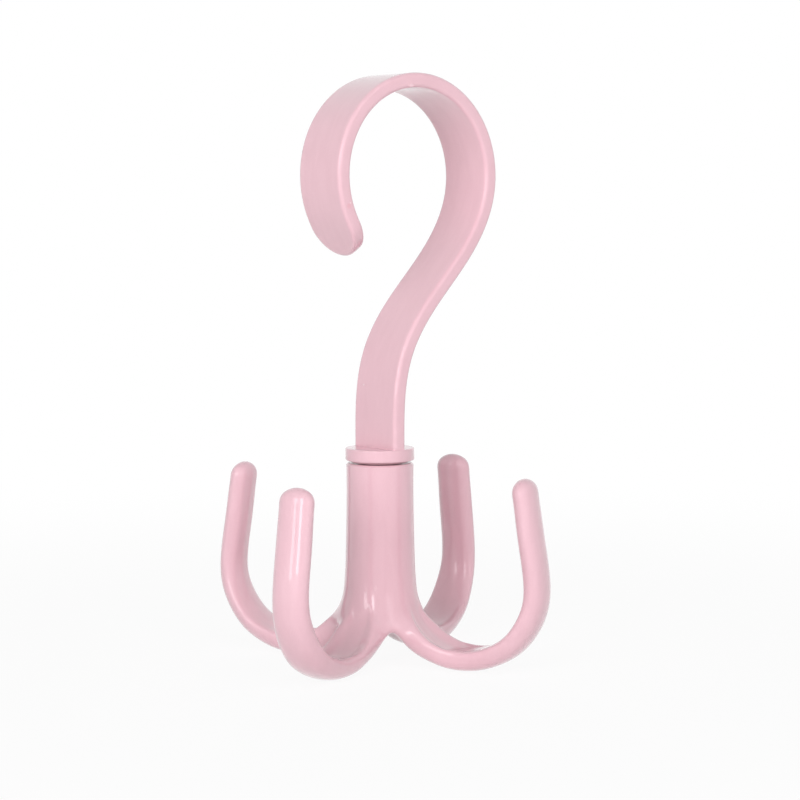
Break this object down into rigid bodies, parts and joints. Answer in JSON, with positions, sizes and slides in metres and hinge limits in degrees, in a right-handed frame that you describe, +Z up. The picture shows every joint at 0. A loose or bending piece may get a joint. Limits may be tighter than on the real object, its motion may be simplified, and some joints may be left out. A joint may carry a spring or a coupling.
{
  "type": "rotating closet hook",
  "caption": "Flat strap question-mark hook over a rail, with a hub of upturned claws turning on a pin below it, for hanging bags, belts, ties or scarves.",
  "frame": {"origin": "on the swivel axis, level with the undersides of the claws", "axes": "+Z up along the swivel axis, X in the plane in which the strap curls, with its tip on the -X side, Y across the strap's width"},
  "size_m": [0.1014, 0.1014, 0.1723],
  "materials": {
    "pink_plastic": "moulded, satin to gloss",
    "plated_steel": "bright zinc plate"
  },
  "bodies": {
    "hook_body": {"hanging_hook": "pink_plastic", "retaining_washer": "plated_steel", "retaining_screw": "plated_steel"},
    "hub_body": {"claw_hub": "pink_plastic"}
  },
  "joints": [
    {"name": "hub_swivel", "type": "hinge", "parent": "hook_body", "child": "hub_body", "pos_m": [0, 0, 0.03], "axis": [0, 0, 1], "continuous": true}
  ]
}
